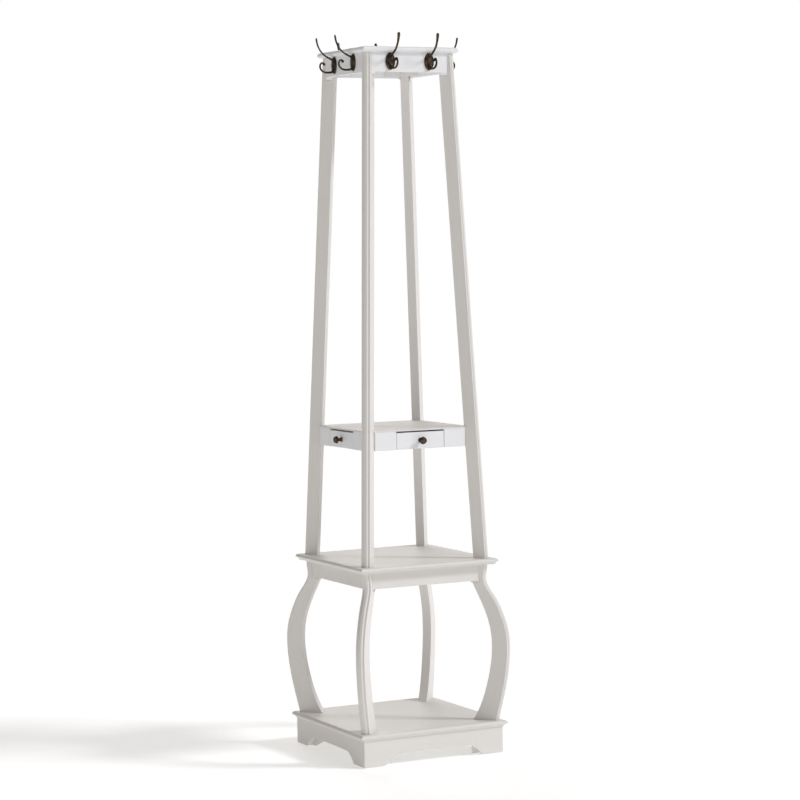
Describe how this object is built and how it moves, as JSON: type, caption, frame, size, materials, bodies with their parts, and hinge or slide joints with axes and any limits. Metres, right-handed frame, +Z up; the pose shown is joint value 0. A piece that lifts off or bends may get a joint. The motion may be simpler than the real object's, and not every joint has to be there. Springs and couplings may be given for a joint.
{
  "type": "hall tree coat stand",
  "caption": "Free-standing square hall tree: bowed legs on an arched plinth, a shelf, four leaning posts, a tier of small drawers and a top frame with double coat hooks.",
  "frame": {"origin": "on the floor, under the middle of the plinth", "axes": "+Z up along the tall axis, -Y is the front, +X is to the right seen from the front"},
  "size_m": [0.4398, 0.4398, 1.84],
  "materials": {
    "white_paint": "satin off-white paint over wood",
    "bare_wood": "unpainted, sanded",
    "bronze": "dark antique bronze, rubbed on the high spots",
    "zinc_steel": "zinc plated",
    "glide_plastic": "matte"
  },
  "bodies": {
    "frame": {"plinth_skirt_front": "white_paint", "shelf_rail_front": "white_paint", "top_apron_front": "white_paint", "fascia_front": "white_paint", "hook_front_left": "bronze", "hook_front_right": "bronze", "plinth_skirt_right": "white_paint", "shelf_rail_right": "white_paint", "top_apron_right": "white_paint", "fascia_right": "white_paint", "hook_right_left": "bronze", "hook_right_right": "bronze", "plinth_skirt_back": "white_paint", "shelf_rail_back": "white_paint", "top_apron_back": "white_paint", "fascia_back": "white_paint", "hook_back_left": "bronze", "hook_back_right": "bronze", "plinth_skirt_left": "white_paint", "shelf_rail_left": "white_paint", "top_apron_left": "white_paint", "fascia_left": "white_paint", "hook_left_left": "bronze", "hook_left_right": "bronze", "leg_front_left": "white_paint", "post_front_left": "white_paint", "leg_front_right": "white_paint", "post_front_right": "white_paint", "leg_back_right": "white_paint", "post_back_right": "white_paint", "leg_back_left": "white_paint", "post_back_left": "white_paint", "base_board": "white_paint", "shelf_board": "white_paint", "top_board": "white_paint", "tier_top": "white_paint", "tier_bottom": "white_paint", "plinth_corner_blocks": "white_paint", "shelf_corner_blocks": "white_paint", "top_corner_blocks": "white_paint", "tier_corner_blocks": "bare_wood", "drawer_guides": "bare_wood", "floor_glides": "glide_plastic", "hook_screws": "bronze", "block_screws": "zinc_steel", "foot_screws": "zinc_steel", "post_studs": "zinc_steel", "corner_bolts": "zinc_steel"},
    "drawer_front": {"drawer_front_front": "white_paint", "drawer_box_front": "bare_wood", "knob_front": "bronze"},
    "drawer_right": {"drawer_front_right": "white_paint", "drawer_box_right": "bare_wood", "knob_right": "bronze"},
    "drawer_back": {"drawer_front_back": "white_paint", "drawer_box_back": "bare_wood", "knob_back": "bronze"},
    "drawer_left": {"drawer_front_left": "white_paint", "drawer_box_left": "bare_wood", "knob_left": "bronze"}
  },
  "joints": [
    {"name": "drawer_front_slide", "type": "slide", "parent": "frame", "child": "drawer_front", "axis": [0, -1, 0], "range_m": [0, 0.055]},
    {"name": "drawer_right_slide", "type": "slide", "parent": "frame", "child": "drawer_right", "axis": [1, 0, 0], "range_m": [0, 0.055]},
    {"name": "drawer_back_slide", "type": "slide", "parent": "frame", "child": "drawer_back", "axis": [0, 1, 0], "range_m": [0, 0.055]},
    {"name": "drawer_left_slide", "type": "slide", "parent": "frame", "child": "drawer_left", "axis": [-1, 0, 0], "range_m": [0, 0.055]}
  ]
}
